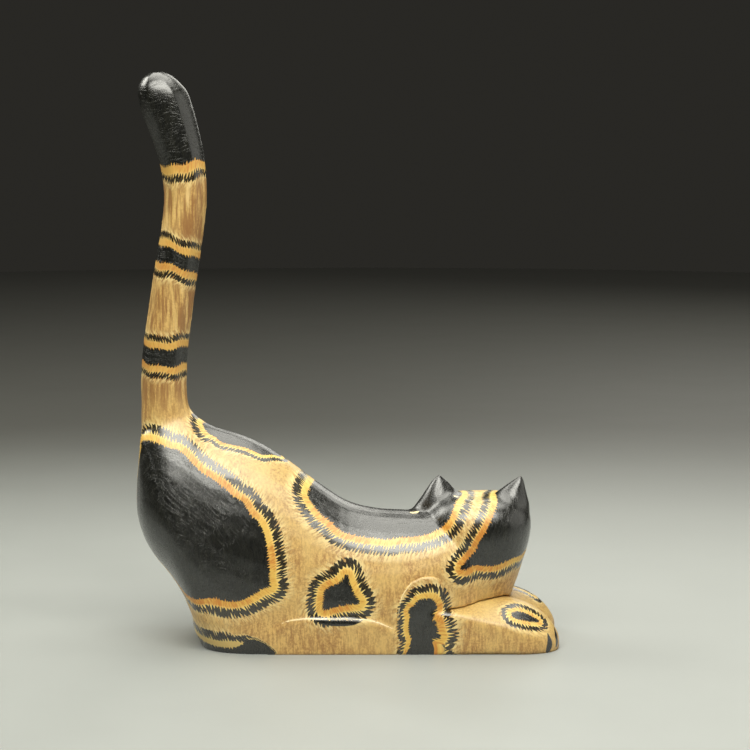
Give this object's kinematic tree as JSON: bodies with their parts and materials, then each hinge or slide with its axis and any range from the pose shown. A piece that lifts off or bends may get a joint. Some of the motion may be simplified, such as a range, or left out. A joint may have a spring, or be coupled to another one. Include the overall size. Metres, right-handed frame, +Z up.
{
  "type": "carved wooden cat figure",
  "caption": "Carved and painted wooden cat in a front stretch, chest down on its forelegs, head turned aside and tail straight up, with a flat base to stand on.",
  "frame": {"origin": "middle of the flat base, on the table", "axes": "+Z is up, +X runs from the rump to the front paws, -Y is the cat's right flank"},
  "size_m": [0.1464, 0.0466, 0.1975],
  "materials": {
    "painted_body": "hand painted ochre with black patches, satin",
    "painted_head": "hand painted ochre with a black patch, satin",
    "painted_ear": "hand painted black, satin",
    "painted_leg": "hand painted ochre with black and yellow spots, satin",
    "painted_tail": "hand painted ochre with black bands and tip, satin",
    "bare_wood": "bare turned dowel"
  },
  "bodies": {
    "figure": {"body": "painted_body", "head": "painted_head", "ear_left": "painted_ear", "ear_right": "painted_ear", "foreleg_left": "painted_leg", "foreleg_right": "painted_leg", "neck_dowel": "bare_wood", "foreleg_pins_left": "bare_wood", "foreleg_pins_right": "bare_wood"},
    "lift_off_tail": {"tail": "painted_tail"}
  },
  "joints": [
    {"name": "tail_lift", "type": "slide", "parent": "figure", "child": "lift_off_tail", "axis": [-0.3746, 0, 0.9272], "range_m": [0, 0.019]}
  ]
}
